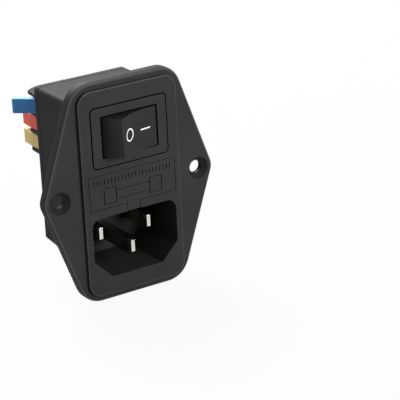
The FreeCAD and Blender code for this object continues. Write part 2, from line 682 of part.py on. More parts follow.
def fuse_clip(x):
    """U-shaped clip that grips one fuse cap, with a tail through the floor."""
    gap = FUSE_CAP_D / 2 + CLIP_GAP
    y_in = y_working_fuse + gap
    y_lips = y_working_fuse - CLIP_GRIP
    y_flare = y_lips - 2 * CLIP_FLARE
    outer = gap + CLIP_T
    arms = [(y_flare, gap + CLIP_FLARE, 0), (y_lips, gap, 0), (y_in, gap, gap / 3), (y_in, -gap, gap / 3),
            (y_lips, -gap, 0), (y_flare, -gap - CLIP_FLARE, 0), (y_flare, -outer - CLIP_FLARE, 0),
            (y_lips, -outer, 0), (y_in + CLIP_T, -outer, outer / 3), (y_in + CLIP_T, outer, outer / 3),
            (y_lips, outer, 0), (y_flare, outer + CLIP_FLARE, 0)]
    corners = [(y, z_drawer + z, r) for y, z, r in arms]
    half = CLIP_WIDTH / 2
    clip = end_prism(corners, x - half, x + half)
    tail = block(x - STRIP_WIDTH / 2, x + STRIP_WIDTH / 2, y_in + CLIP_T / 2, y_floor_back,
                 z_drawer - CLIP_T / 2, z_drawer + CLIP_T / 2)
    return clip.fuse(tail).removeSplitter()


def fuse_drawer():
    """Drawer: front with tongue, box of the spare fuse and saddle of the working fuse."""
    half_w = drawer_width / 2
    half_h = DRAWER_HEIGHT / 2
    plate = block(-half_w, half_w, y_face, y_drawer_plate, z_drawer - half_h, z_drawer + half_h)
    tongue = block(-TONGUE_WIDTH / 2, TONGUE_WIDTH / 2, y_face, y_drawer_plate, z_socket_top, z_drawer)
    x_in = FUSE_LENGTH / 2 + FUSE_PLAY
    x_out = x_in + DRAWER_WALL
    z_in = FUSE_CAP_D / 2 + FUSE_PLAY
    z_out = z_in + DRAWER_WALL
    y_end = y_working_fuse + FUSE_CAP_D / 2
    box = block(-x_out, x_out, y_drawer_plate, y_box_wall, z_drawer - z_out, z_drawer + z_out)
    box = box.cut(block(-x_in, x_in, y_drawer_plate, y_box, z_drawer - z_in, z_drawer + z_in))
    drawer = plate.fuse([tongue, box])
    for side in (-1, 1):
        cheek = block(x_in, x_out, y_box, y_end, z_drawer - z_out, z_drawer + z_out)
        drawer = drawer.fuse(cheek if side > 0 else mirrored_x(cheek))
    half = SADDLE_WIDTH / 2
    saddle = block(-half, half, y_box, y_working_fuse + FUSE_GLASS_D / 4, z_drawer - z_out, z_drawer + z_out)
    drawer = drawer.fuse(saddle)
    drawer = drawer.cut(rod(FUSE_GLASS_D + FUSE_PLAY, V(-half - OVERCUT, y_working_fuse, z_drawer),
                            V(half + OVERCUT, y_working_fuse, z_drawer)))
    return drawer.removeSplitter()


def fuse_tube(y):
    """Glass tube of a cartridge fuse."""
    half = FUSE_LENGTH / 2 - FUSE_CAP_T
    start = V(-half, y, z_drawer)
    end = V(half, y, z_drawer)
    return rod(FUSE_GLASS_D, start, end).cut(rod(FUSE_GLASS_D - 2 * FUSE_GLASS_T, start, end))


def fuse_caps(y):
    """The two metal caps of a cartridge fuse."""
    caps = []
    for side in (-1, 1):
        far = side * FUSE_LENGTH / 2
        near = side * (FUSE_LENGTH / 2 - FUSE_CAP_LENGTH)
        inside = side * (FUSE_LENGTH / 2 - FUSE_CAP_T)
        cup = rod(FUSE_CAP_D, V(near, y, z_drawer), V(far, y, z_drawer))
        caps.append(cup.cut(rod(FUSE_GLASS_D, V(near, y, z_drawer), V(inside, y, z_drawer))))
    return Part.makeCompound(caps)


def fuse_wire(y):
    """Fusible wire stretched between the caps."""
    half = FUSE_LENGTH / 2 - FUSE_CAP_T
    return rod(FUSE_WIRE_D, V(-half, y, z_drawer), V(half, y, z_drawer))


def switch_frame():
    """Snap-in switch body: bezel, well for the rocker, base and pivot bores."""
    x = BEZEL_WIDTH / 2
    z = BEZEL_HEIGHT / 2
    bezel = front_prism(rectangle(-x, x, z_switch - z, z_switch + z, BEZEL_CORNER_R),
                        y_bezel, y_bezel + BEZEL_T)
    bezel = bezel.makeFillet(BEZEL_EDGE_R, edges_at_depth(bezel, y_bezel))
    x = SWITCH_BODY_WIDTH / 2
    z = SWITCH_BODY_HEIGHT / 2
    body = block(-x, x, y_bezel + BEZEL_T / 2, y_switch_back, z_switch - z, z_switch + z)
    y_snap = BEZEL_EDGE_R
    snaps = []
    for side in (-1, 1):
        wedge = side_prism([(x - WALL / 2, y_snap, 0), (x + SNAP_RIB, y_snap, 0),
                            (x, y_snap + SNAP_LENGTH, 0), (x - WALL / 2, y_snap + SNAP_LENGTH, 0)],
                           z_switch - z / 2, z_switch + z / 2)
        snaps.append(wedge if side > 0 else mirrored_x(wedge))
    frame = bezel.fuse([body] + snaps)
    x = well_width / 2
    z = well_height / 2
    well = front_prism(rectangle(-x, x, z_switch - z, z_switch + z, BEZEL_EDGE_R),
                       y_bezel - OVERCUT, y_switch_back - SWITCH_BASE_T)
    frame = frame.cut(well)
    reach = well_height / 2 + WALL
    pivot = V(0, y_rocker_pivot, z_switch)
    frame = frame.cut(rod(ROCKER_PIN_D + 2 * RUNNING_FIT, pivot - V(0, 0, reach), pivot + V(0, 0, reach)))
    for z in (z_live, z_neutral):
        for x, half in ((x_bar, STRIP_T / 2), (0, STRIP_T)):
            frame = frame.cut(block(x - half - FIT, x + half + FIT, y_switch_back - SWITCH_BASE_T - OVERCUT,
                                    y_switch_back + OVERCUT,
                                    z - STRIP_WIDTH / 2 - FIT, z + STRIP_WIDTH / 2 + FIT))
    return frame.removeSplitter()


def polar(radius, angle):
    """Point at a radius from the rocker's pivot, the angle counted from +X to the front."""
    a = math.radians(angle)
    return V(radius * math.cos(a), y_rocker_pivot - radius * math.sin(a), 0)


def rocker_section(radius, valley, foot_angle, z0, z1):
    """Rocker profile: a V roof between two end faces that are arcs about the pivot."""
    right_top = polar(radius, ROCKER_CORNER_ANGLE)
    right_mid = polar(radius, (ROCKER_CORNER_ANGLE - foot_angle) / 2)
    right_foot = polar(radius, -foot_angle)
    left_top, left_mid, left_foot = (V(-p.x, p.y, 0) for p in (right_top, right_mid, right_foot))
    low = V(0, y_rocker_pivot - valley, 0)
    wire = Part.Wire([Part.makeLine(low, right_top), Part.Arc(right_top, right_mid, right_foot).toShape(),
                      Part.makeLine(right_foot, left_foot),
                      Part.Arc(left_foot, left_mid, left_top).toShape(), Part.makeLine(left_top, low)])
    wire.translate(V(0, 0, z0))
    return Part.Face(wire).extrude(V(0, 0, z1 - z0))


def rocker():
    """Hollow rocker with stub pins and two plunger tubes, pressed on its right side."""
    half = rocker_width / 2
    z0 = z_switch - half
    z1 = z_switch + half
    skin = rocker_section(rocker_r, ROCKER_VALLEY, ROCKER_SKIRT_ANGLE, z0, z1)
    crest = [e for e in skin.Edges if e.BoundBox.YMax < y_rocker_pivot - ROCKER_VALLEY + 1e-6]
    skin = skin.makeFillet(ROCKER_EDGE_R, crest)
    hollow = rocker_section(rocker_r - ROCKER_WALL, ROCKER_VALLEY - ROCKER_WALL,
                            2 * ROCKER_SKIRT_ANGLE, z0 + ROCKER_WALL, z1 - ROCKER_WALL)
    body = skin.cut(hollow)
    pivot = V(0, y_rocker_pivot, z_switch)
    reach = half + ROCKER_PIN_LENGTH
    pins = rod(ROCKER_PIN_D, pivot - V(0, 0, reach), pivot - V(0, 0, half - ROCKER_WALL))
    pins = pins.fuse(rod(ROCKER_PIN_D, pivot + V(0, 0, half - ROCKER_WALL), pivot + V(0, 0, reach)))
    body = body.fuse(pins)
    y_roof = y_rocker_pivot - ROCKER_VALLEY + ROCKER_WALL
    for z in (z_live, z_neutral):
        start = V(0, y_roof - ROCKER_WALL / 2, z)
        end = V(0, y_rocker_pivot + PLUNGER_TUBE_REACH, z)
        body = body.fuse(rod(PLUNGER_TUBE_D, start, end))
        body = body.cut(rod(PLUNGER_D + 2 * RUNNING_FIT, V(0, y_roof, z), end + V(0, OVERCUT, 0)))
    return pressed(body.removeSplitter())


def pressed(shape):
    """Turns what rides in the rocker to the pressed position of its right side."""
    shape.rotate(V(0, y_rocker_pivot, z_switch), V(0, 0, 1), ROCKER_TILT)
    return shape


def plungers():
    """Two sprung plungers with tapered noses that tip the contacts over."""
    radius = PLUNGER_D / 2
    pieces = []
    for z in (z_live, z_neutral):
        y_shank_end = y_plunger_nose - radius
        shank = rod(PLUNGER_D, V(0, y_plunger_nose - PLUNGER_LENGTH, z), V(0, y_shank_end, z))
        nose = Part.makeCone(radius, radius / 2, radius, V(0, y_shank_end, z), V(0, 1, 0))
        pieces.append(shank.fuse(nose).removeSplitter())
    return pressed(Part.makeCompound(pieces))


def plunger_springs():
    """Coil springs of square wire between the rocker's roof and the plungers."""
    y_roof = y_rocker_pivot - ROCKER_VALLEY + ROCKER_WALL
    y_seat = y_plunger_nose - PLUNGER_LENGTH
    radius = PLUNGER_D / 2 - SPRING_WIRE
    length = y_seat - y_roof - SPRING_WIRE
    half = SPRING_WIRE / 2
    pieces = []
    for z in (z_live, z_neutral):
        helix = Part.makeHelix(length / SPRING_TURNS, length, radius)
        section = rounded_wire(rectangle(radius - half, radius + half, -half, half),
                               lambda u, w: V(u, 0, w))
        coil = Part.Wire(helix).makePipeShell([section], True, True)
        coil.rotate(V(0, 0, 0), V(1, 0, 0), -90)
        coil.translate(V(0, y_roof + half, z))
        pieces.append(coil)
    return pressed(Part.makeCompound(pieces))


def pieces():
    """Every piece by name."""
    places = pin_places()
    built = {
        "front_shell": front_shell(),
        "rear_cover": rear_cover(),
        "terminal_block": terminal_block(),
        "switch_frame": switch_frame(),
        "switch_rocker": rocker(),
        "rocker_plungers": plungers(),
        "plunger_springs": plunger_springs(),
        "contact_arm_live": contact_arm(z_live),
        "contact_arm_neutral": contact_arm(z_neutral),
        "fixed_contact_live": fixed_contact(z_live),
        "fixed_contact_neutral": fixed_contact(z_neutral),
        "pin_live": inlet_pin(*places["live"], LINE_PIN_RECESS),
        "pin_neutral": inlet_pin(*places["neutral"], LINE_PIN_RECESS),
        "pin_earth": inlet_pin(*places["earth"], EARTH_PIN_RECESS),
        "strip_live_in": strip_live_in(),
        "strip_fused_live": strip_fused_live(),
        "strip_neutral": strip_neutral(),
        "strip_earth": strip_earth(),
        "fuse_clip_in": fuse_clip(-x_clip),
        "fuse_clip_out": fuse_clip(x_clip),
        "fuse_drawer": fuse_drawer(),
        "fuse_tube": fuse_tube(y_working_fuse),
        "fuse_caps": fuse_caps(y_working_fuse),
        "fuse_wire": fuse_wire(y_working_fuse),
        "spare_fuse_tube": fuse_tube(y_spare_fuse),
        "spare_fuse_caps": fuse_caps(y_spare_fuse),
        "spare_fuse_wire": fuse_wire(y_spare_fuse),
    }
    openings = {"earth": 0.0, "live": 0.0, "neutral": LEVER_OPEN_ANGLE}
    for name, z in TERMINALS.items():
        built["lever_" + name] = lever(z, openings[name])
        built["clamp_spring_" + name] = clamp_spring(z)
    return built


os.makedirs("parts", exist_ok=True)
for name, shape in pieces().items():
    shape.exportStep(os.path.join("parts", name + ".step"))
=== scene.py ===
"""Looks of the power entry module: moulded plastics, plated pins, marks, light and camera.

Metres, in the part's own frame: +X right seen from the front, +Y back, +Z up.
Named lengths are in millimetres.
"""
import json
import math

import bmesh
import bpy
from mathutils import Matrix, Vector


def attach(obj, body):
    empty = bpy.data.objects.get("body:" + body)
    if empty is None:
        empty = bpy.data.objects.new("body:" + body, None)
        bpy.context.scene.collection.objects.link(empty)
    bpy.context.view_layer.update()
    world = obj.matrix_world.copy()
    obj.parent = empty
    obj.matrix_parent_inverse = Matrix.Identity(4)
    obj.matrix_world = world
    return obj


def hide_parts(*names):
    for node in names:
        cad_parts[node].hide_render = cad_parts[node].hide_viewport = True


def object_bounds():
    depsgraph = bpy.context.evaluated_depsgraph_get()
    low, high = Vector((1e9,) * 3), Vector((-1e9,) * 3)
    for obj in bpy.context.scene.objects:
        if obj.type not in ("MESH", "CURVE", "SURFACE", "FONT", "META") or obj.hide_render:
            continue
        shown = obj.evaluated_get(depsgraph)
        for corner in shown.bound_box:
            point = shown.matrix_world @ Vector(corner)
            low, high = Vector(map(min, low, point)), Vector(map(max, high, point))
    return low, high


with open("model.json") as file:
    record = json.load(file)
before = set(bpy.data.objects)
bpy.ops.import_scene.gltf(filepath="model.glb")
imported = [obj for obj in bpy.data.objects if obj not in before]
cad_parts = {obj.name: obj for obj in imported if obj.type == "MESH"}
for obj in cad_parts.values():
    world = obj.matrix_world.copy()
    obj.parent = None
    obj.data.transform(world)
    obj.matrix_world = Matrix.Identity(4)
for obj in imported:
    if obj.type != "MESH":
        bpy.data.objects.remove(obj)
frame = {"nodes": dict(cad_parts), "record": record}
cad_low, cad_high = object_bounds()
scene = bpy.context.scene
slots = {entry["node"]: entry["material_slot"] for entry in frame["record"]["subparts"]}

MM = 0.001
PURE_WHITE = (1.0, 1.0, 1.0, 1.0)

# Screw holes with their countersinks
SCREW_X = 20.0
SINK_R, SINK_FADE = 3.1, 0.1

# Moulded plastic, with painted highlights on edges and rounds and painted shade in gaps, recesses
# and screw holes; a span gives the values between which an effect comes in
EDGE_ROUND, EDGE_HIGHLIGHT_SPAN, EDGE_HIGHLIGHT_SHARE = 0.12, (0.015, 0.12), 0.5
FLAT_SPAN = (0.4, 0.995)
BOW_HIGHLIGHT, BOW_POLISH = 0.16, 0.1
SINK_SHADE = 0.9
RECESS_SHADE_REACH, RECESS_SHADE_SPAN = 10.0, (0.1, 0.5)
GAP_SHADE_REACH, GAP_SHADE_SPAN = 0.5, (0.1, 0.8)
CLOUD_SCALE, FLOW_SCALE, WEAR_SCALE = 0.09, 0.25, 0.6
SPECK_SHARE, SPECK_SPAN = 0.35, (0.45, 0.8)

# Plated metal
STREAK_DARK = 0.82
METAL_ROUND = 0.06


def mm(*values):
    """Point given in millimetres."""
    return Vector(values) * MM


def linear(code):
    """Linear colour of a six-digit screen colour."""
    out = []
    for k in (0, 2, 4):
        c = int(code[k:k + 2], 16) / 255
        out.append(c / 12.92 if c <= 0.04045 else ((c + 0.055) / 1.055) ** 2.4)
    return (*out, 1.0)


class Shader:
    """A material under construction: nodes are made and linked by short calls."""

    def __init__(self, name):
        self.material = bpy.data.materials.new(name)
        self.material.use_nodes = True
        self.tree = self.material.node_tree
        self.tree.nodes.clear()
        self.out = self.node("ShaderNodeOutputMaterial")
        coordinates = self.node("ShaderNodeTexCoord")
        scale = self.node("ShaderNodeMapping")
        scale.inputs["Scale"].default_value = (1 / MM, 1 / MM, 1 / MM)
        self.link(coordinates.outputs["Object"], scale.inputs["Vector"])
        self.mm = scale.outputs["Vector"]
        self.normal = coordinates.outputs["Normal"]

    def node(self, kind, **settings):
        """A new node with its settings."""
        made = self.tree.nodes.new(kind)
        for key, value in settings.items():
            setattr(made, key, value)
        return made

    def link(self, a, b):
        """A link from an output to an input."""
        self.tree.links.new(a, b)

    def put(self, socket, value):
        """A number or colour set on an input, or an output linked to it."""
        if isinstance(value, (tuple, float)):
            socket.default_value = value
        else:
            self.link(value, socket)

    def noise(self, scale, detail=3.0, rough=0.55, stretch=None):
        """Noise by millimetres; stretch draws it out along the axes."""
        made = self.node("ShaderNodeTexNoise")
        made.inputs["Scale"].default_value = scale
        made.inputs["Detail"].default_value = detail
        made.inputs["Roughness"].default_value = rough
        place = self.mm
        if stretch:
            mapping = self.node("ShaderNodeMapping")
            mapping.inputs["Scale"].default_value = stretch
            self.link(place, mapping.inputs["Vector"])
            place = mapping.outputs["Vector"]
        self.link(place, made.inputs["Vector"])
        return made.outputs["Fac"]

    def span(self, value, low, high, from_low=0.3, from_high=0.7):
        """value mapped from one span to another, held at the ends."""
        made = self.node("ShaderNodeMapRange")
        limits = {"From Min": from_low, "From Max": from_high, "To Min": low, "To Max": high}
        for key, number in limits.items():
            made.inputs[key].default_value = number
        self.link(value, made.inputs["Value"])
        return made.outputs["Result"]

    def blend(self, factor, a, b):
        """Colour between a and b; each is a colour or an output."""
        made = self.node("ShaderNodeMix", data_type="RGBA")
        for slot, value in (("A", a), ("B", b)):
            self.put([s for s in made.inputs if s.name == slot and s.type == "RGBA"][0], value)
        self.link(factor, made.inputs["Factor"])
        return [s for s in made.outputs if s.type == "RGBA"][0]

    def math(self, operation, *values):
        """Arithmetic on outputs and numbers."""
        made = self.node("ShaderNodeMath", operation=operation)
        for slot, value in enumerate(values):
            self.put(made.inputs[slot], value)
        return made.outputs["Value"]

    def rounded(self, radius):
        """Normal with the edges rounded by a radius in millimetres."""
        made = self.node("ShaderNodeBevel", samples=6)
        made.inputs["Radius"].default_value = radius * MM
        return made.outputs["Normal"]

    def edge(self, normal):
        """1 along the edges that a rounded normal finds, 0 on the flats; the mask of a painted
        highlight.
        """
        geometry = self.node("ShaderNodeNewGeometry")
        dot = self.node("ShaderNodeVectorMath", operation="DOT_PRODUCT")
        self.link(normal, dot.inputs[0])
        self.link(geometry.outputs["Normal"], dot.inputs[1])
        turned = self.math("SUBTRACT", 1.0, dot.outputs["Value"])
        return self.span(turned, 0.0, 1.0, *EDGE_HIGHLIGHT_SPAN)

    def flat_front(self):
        """1 on faces square to the front, falling to 0 on the sides."""
        axes = self.node("ShaderNodeSeparateXYZ")
        self.link(self.normal, axes.inputs[0])
        return self.span(self.math("ABSOLUTE", axes.outputs["Y"]), 0.0, 1.0, *FLAT_SPAN)

    def off_screws(self):
        """0 within the countersinks, 1 outside them."""
        place = self.node("ShaderNodeSeparateXYZ")
        self.link(self.mm, place.inputs[0])
        across = self.math("SUBTRACT", self.math("ABSOLUTE", place.outputs["X"]), SCREW_X)
        from_screw = self.math("ADD", self.math("POWER", across, 2.0),
                               self.math("POWER", place.outputs["Z"], 2.0))
        return self.span(from_screw, 0.0, 1.0, SINK_R ** 2, (SINK_R + SINK_FADE) ** 2)

    def round_edge(self):
        """1 midway round the turn from front face to side, 0 on both and in countersinks."""
        turned = self.flat_front()
        rest = self.math("SUBTRACT", 4.0, self.math("MULTIPLY", turned, 4.0))
        return self.math("MULTIPLY", self.math("MULTIPLY", turned, rest), self.off_screws())

    def sunk(self):
        """1 on the walls of the screw holes, about half on the countersinks, 0 elsewhere."""
        return self.math("MULTIPLY", self.math("SUBTRACT", 1.0, self.flat_front()),
                         self.math("SUBTRACT", 1.0, self.off_screws()))

    def open_share(self, reach):
        """1 in the open, falling towards 0 in recesses, looking a reach in millimetres; the mask
        of painted shade.
        """
        made = self.node("ShaderNodeAmbientOcclusion", samples=8)
        made.inputs["Distance"].default_value = reach * MM
        return made.outputs["AO"]

    def bump(self, height, depth, normal=None):
        """Bump of a depth in millimetres."""
        made = self.node("ShaderNodeBump")
        made.inputs["Strength"].default_value = 1.0
        made.inputs["Distance"].default_value = depth * MM
        self.link(height, made.inputs["Height"])
        if normal is not None:
            self.link(normal, made.inputs["Normal"])
        return made.outputs["Normal"]

    def surface(self, color, rough, normal, **sockets):
        """Principled surface; the other sockets go by their names, with _ for a space."""
        made = self.node("ShaderNodeBsdfPrincipled")
        values = {"Base Color": color, "Roughness": rough, "Normal": normal}
        values.update({key.replace("_", " "): value for key, value in sockets.items()})
        for key, value in values.items():
            self.put(made.inputs[key], value)
        self.link(made.outputs["BSDF"], self.out.inputs["Surface"])
        return self.material


def moulded(name, dark, light, rough, grain=6.0, depth=0.006, edge=None, shade=None,
            polish=0.0, **sockets):
    """Moulded plastic: eroded grain, faint cloudy colour, roughness that varies, soft edges.

    The edge colour is a painted highlight along edges and rounds, the shade colour is painted
    shade in gaps, recesses and screw holes, and polish is the specular level on the rounds.
    """
    s = Shader(name)
    dark, light = linear(dark), linear(light)
    speck = s.noise(grain, 2.0, 0.7)
    color = s.blend(s.span(s.noise(CLOUD_SCALE, 4.0), 0.0, 1.0), dark, light)
    color = s.blend(s.span(speck, 0.0, SPECK_SHARE, *SPECK_SPAN), color, light)
    soft = s.rounded(EDGE_ROUND)
    # Painted highlight: edges lighten towards the edge colour
    if edge:
        color = s.blend(s.span(s.edge(soft), 0.0, EDGE_HIGHLIGHT_SHARE, 0.0, 1.0), color, linear(edge))
    # Painted shade: darker towards the shade colour in recesses and in narrow gaps, by ambient
    # occlusion
    if shade:
        for reach, limits in ((RECESS_SHADE_REACH, RECESS_SHADE_SPAN), (GAP_SHADE_REACH, GAP_SHADE_SPAN)):
            openness = s.span(s.open_share(reach), 0.0, 1.0, *limits)
            color = s.blend(openness, linear(shade), color)
    roughness = s.span(s.noise(WEAR_SCALE, 5.0), rough - 0.05, rough + 0.06)
    if polish:
        bow = s.round_edge()
        # Painted highlight on the rounds from front face to side; the raised specular level and
        # lower roughness there are a real polish
        color = s.blend(s.math("MULTIPLY", bow, BOW_HIGHLIGHT), color, linear(edge))
        level = sockets["Specular_IOR_Level"]
        sockets["Specular_IOR_Level"] = s.span(bow, level, polish, 0.0, 1.0)
        roughness = s.math("SUBTRACT", roughness, s.math("MULTIPLY", bow, BOW_POLISH))
        # Painted shade on the walls of the screw holes and, half as strong, on the countersinks
        color = s.blend(s.math("MULTIPLY", s.sunk(), SINK_SHADE), color, linear(shade))
    flow = s.bump(s.noise(FLOW_SCALE, 3.0), depth * 1.5, soft)
    return s.surface(color, roughness, s.bump(speck, depth, flow), **sockets)


def lever(name, dark, light, edge, level):
    """The glossier plastic of a lever, with a painted highlight on its edges."""
    return moulded(name, dark, light, 0.4, grain=4.0, depth=0.004, edge=edge,
                   Specular_IOR_Level=level)


def plated(name, color, rough, along, side_shade=None):
    """Plated or drawn metal, streaked along one direction; the side colour is painted shade on
    faces turned from the front.
    """
    s = Shader(name)
    bright = linear(color)
    worn = (*(c * STREAK_DARK for c in bright[:3]), 1.0)
    tone = s.blend(s.span(s.noise(3.0, 4.0, 0.6, along), 0.0, 1.0), worn, bright)
    if side_shade:
        # Painted shade: faces turned from the front darken towards the side colour
        tone = s.blend(s.flat_front(), linear(side_shade), tone)
    roughness = s.span(s.noise(0.9, 4.0), rough - 0.06, rough + 0.08)
    return s.surface(tone, roughness, s.rounded(METAL_ROUND), Metallic=1.0)


def glass(name):
    """Clear tube with faint waves and a little haze."""
    s = Shader(name)
    wave = s.bump(s.noise(0.5, 2.0, 0.5, (0.3, 1.0, 1.0)), 0.01)
    haze = s.span(s.noise(1.2, 4.0), 0.03, 0.09)
    return s.surface((0.93, 0.97, 0.96, 1.0), haze, wave, Transmission_Weight=1.0, IOR=1.47)


def print_white(name):
    """Pad-printed white ink, a little uneven."""
    s = Shader(name)
    cover = s.span(s.noise(5.0, 4.0, 0.7), 0.0, 1.0, 0.25, 0.6)
    color = s.blend(cover, linear("cacac8"), linear("dededc"))
    return s.surface(color, s.span(s.noise(2.0, 3.0), 0.42, 0.6), s.bump(s.noise(9.0, 2.0), 0.003))


# Black plastics: a painted shade colour for gaps, recesses and screw holes, and a low specular
# level
BLACK = {"shade": "0f0f0f", "Specular_IOR_Level": 0.03}
# The edge colours of the plastics are painted highlights
MATERIALS = {
    "housing_plastic": moulded("housing_black", "282828", "2d2d2d", 0.5, edge="6a6a6a",
                               polish=0.3, **BLACK),
    "cover_plastic": moulded("cover_black", "29292c", "2e2e31", 0.5, edge="606064",
                             polish=0.3, **BLACK),
    "rocker_plastic": moulded("rocker_black", "252525", "292929", 0.4, grain=3.0, depth=0.003,
                              edge="5a5a5a", **BLACK),
    "plunger_plastic": moulded("plunger_nylon", "cfc9ba", "dcd7ca", 0.45,
                               Subsurface_Weight=0.1, Subsurface_Scale=0.5 * MM),
    "lever_blue": lever("lever_blue", "3c7ebe", "4892d2", "6cacdc", 0.25),
    "lever_red": lever("lever_red", "c03820", "cc442a", "f27a5a", 0.2),
    "lever_yellow": lever("lever_yellow", "b79c58", "c4ab66", "e6cc8a", 0.2),
    # The pins' sides darken to a painted shade colour
    "pin_plating": plated("pin_nickel", "d8d8d4", 0.2, (1.0, 0.08, 1.0), "8c8a86"),
    "strip_metal": plated("strip_brass", "d0ac62", 0.32, (1.0, 1.0, 0.1)),
    "spring_steel": plated("spring_steel", "c4c5c6", 0.3, (0.2, 1.0, 1.0)),
    "fuse_metal": plated("fuse_cap_nickel", "d9d9d4", 0.26, (0.1, 1.0, 1.0)),
    "fuse_glass": glass("fuse_glass"),
}
INK = print_white("mark_white")

for name, piece in frame["nodes"].items():
    piece.data.materials.clear()
    piece.data.materials.append(MATERIALS[slots[name]])


def add_object(name, data):
    """An object in the scene from its data."""
    made = bpy.data.objects.new(name, data)
    scene.collection.objects.link(made)
    return made


def new_piece(name, mesh, body, material):
    """A piece of the object from a finished mesh."""
    made = add_object(name, mesh)
    mesh.materials.clear()
    mesh.materials.append(material)
    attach(made, body)
    return made


def finished(name, bm):
    """Mesh of what was built, which is then freed."""
    mesh = bpy.data.meshes.new(name)
    bm.to_mesh(mesh)
    bm.free()
    return mesh


def cut_copy(name, node, cutter_mesh, body):
    """A copy of a node with a cutter taken out of it, in place of the node."""
    cutter = add_object("cutter", cutter_mesh)
    blank = add_object("blank", frame["nodes"][node].data.copy())
    cut = blank.modifiers.new("cut", "BOOLEAN")
    cut.operation = "DIFFERENCE"
    cut.solver = "EXACT"
    cut.use_self = True
    cut.object = cutter
    graph = bpy.context.evaluated_depsgraph_get()
    mesh = bpy.data.meshes.new_from_object(blank.evaluated_get(graph))
    bpy.data.objects.remove(blank)
    bpy.data.objects.remove(cutter)
    made = new_piece(name, mesh, body, MATERIALS[slots[node]])
    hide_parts(node)


# Drawer front with the fuse sign and a row of grip grooves cut into it
FACE_Y = -3.65
GROOVE, GROOVE_DEPTH = 0.3, 0.35
SIGN_LOW, SIGN_HIGH = -2.9, 1.5
TUBE_LOW, TUBE_HIGH = -2.1, 0.5
CAP_NEAR, CAP_FAR = 4.7, 8.45
GRIP_LOW, GRIP_HIGH = 2.45, 3.85
GRIP_REACH, GRIP_COUNT = 11.0, 23
PLATE_X, PLATE_LOW, PLATE_HIGH = 12.425, -3.875, 4.975
TONGUE_X, TONGUE_LOW = 1.85, -5.975
TRIM, PAST = 0.1, 0.3


def bars_mesh(boxes):
    """Mesh of separate boxes, each as (x0, x1, z0, z1) in the drawer's front face."""
    bm = bmesh.new()
    for x0, x1, z0, z1 in boxes:
        centre = mm((x0 + x1) / 2, FACE_Y, (z0 + z1) / 2)
        size = mm(x1 - x0, 2 * GROOVE_DEPTH, z1 - z0)
        place = Matrix.Translation(centre) @ Matrix.Diagonal((*size, 1.0))
        bmesh.ops.create_cube(bm, size=1.0, matrix=place)
    return finished("grooves", bm)


def outline_boxes(x0, x1, z0, z1):
    """Four grooves that draw a rectangle."""
    g = GROOVE
    return [(x0, x1, z0, z0 + g), (x0, x1, z1 - g, z1),
            (x0, x0 + g, z0 + g, z1 - g), (x1 - g, x1, z0 + g, z1 - g)]


def sign_boxes():
    """Grooves of the fuse sign: two caps and the tube between them."""
    return [*outline_boxes(CAP_NEAR, CAP_FAR, SIGN_LOW, SIGN_HIGH),
            *outline_boxes(-CAP_FAR, -CAP_NEAR, SIGN_LOW, SIGN_HIGH),
            (-CAP_NEAR, CAP_NEAR, TUBE_LOW, TUBE_LOW + GROOVE),
            (-CAP_NEAR, CAP_NEAR, TUBE_HIGH - GROOVE, TUBE_HIGH)]


def rim_boxes():
    """Cuts that trim the edges of the drawer's plate and tongue, so that the gap shows."""
    boxes = [(-PLATE_X - PAST, PLATE_X + PAST, PLATE_HIGH - TRIM, PLATE_HIGH + PAST),
             (-TONGUE_X - PAST, TONGUE_X + PAST, TONGUE_LOW - PAST, TONGUE_LOW + TRIM)]
    for side in (-1, 1):
        for near, far, low, high in (
                (PLATE_X - TRIM, PLATE_X + PAST, PLATE_LOW - PAST, PLATE_HIGH),
                (TONGUE_X - TRIM, PLATE_X, PLATE_LOW - PAST, PLATE_LOW + TRIM),
                (TONGUE_X - TRIM, TONGUE_X + PAST, TONGUE_LOW, PLATE_LOW)):
            boxes.append((*sorted((side * near, side * far)), low, high))
    return boxes


def grip_boxes():
    """Grooves of the grip, side by side along the top of the drawer."""
    step = 2 * GRIP_REACH / (GRIP_COUNT - 1)
    middles = [-GRIP_REACH + k * step for k in range(GRIP_COUNT)]
    return [(x - GROOVE / 2, x + GROOVE / 2, GRIP_LOW, GRIP_HIGH) for x in middles]


cut_copy("engraved_drawer", "fuse_drawer",
         bars_mesh([*sign_boxes(), *rim_boxes(), *grip_boxes()]), "drawer")

# Rocker with its roof hollowed to one long curve, its marks and the bezel round it
PIVOT = Vector((0.0, -1.6))
SWITCH_Z = 14.55
TILT = math.radians(18.8)
ROOF_R = 16.775
ROOF_CENTRE = Vector((0.0, -20.355))
ROOF_LENGTH = 14.0
ROOF_STEPS = 720
BEZEL_X, BEZEL_Z, BEZEL_CORNER = 10.75, 7.725, 1.1
BEZEL_FRONT, BEZEL_BACK = -3.75, -2.45
BEZEL_TRIM = 0.16
MARK_RISE = 0.02
STROKE = 0.34
OFF_PLACE, OFF_WIDTH, OFF_HEIGHT = -2.8, 1.62, 1.66
ON_PLACE, ON_LENGTH, ON_FILL = 3.09, 1.52, 0.98


def pressed(flat, up):
    """Point of the level rocker, given from its pivot, turned to its pressed state."""
    turned = Matrix.Rotation(TILT, 2) @ flat
    return mm(PIVOT.x + turned.x, PIVOT.y + turned.y, SWITCH_Z + up)


def roof_point(across, up, rise):
    """Point on the roof: distance across from its middle, height and rise above it."""
    angle = across / ROOF_R
    outward = Vector((math.sin(angle), math.cos(angle)))
    return pressed(ROOF_CENTRE + outward * (ROOF_R - rise), up)


def roof_cutter():
    """Long cylinder that hollows the rocker's roof."""
    bm = bmesh.new()
    place = Matrix.Translation(pressed(ROOF_CENTRE, 0.0))
    bmesh.ops.create_cone(bm, cap_ends=True, segments=ROOF_STEPS, radius1=ROOF_R * MM,
                          radius2=ROOF_R * MM, depth=ROOF_LENGTH * MM, matrix=place)
    return finished("roof_cut", bm)


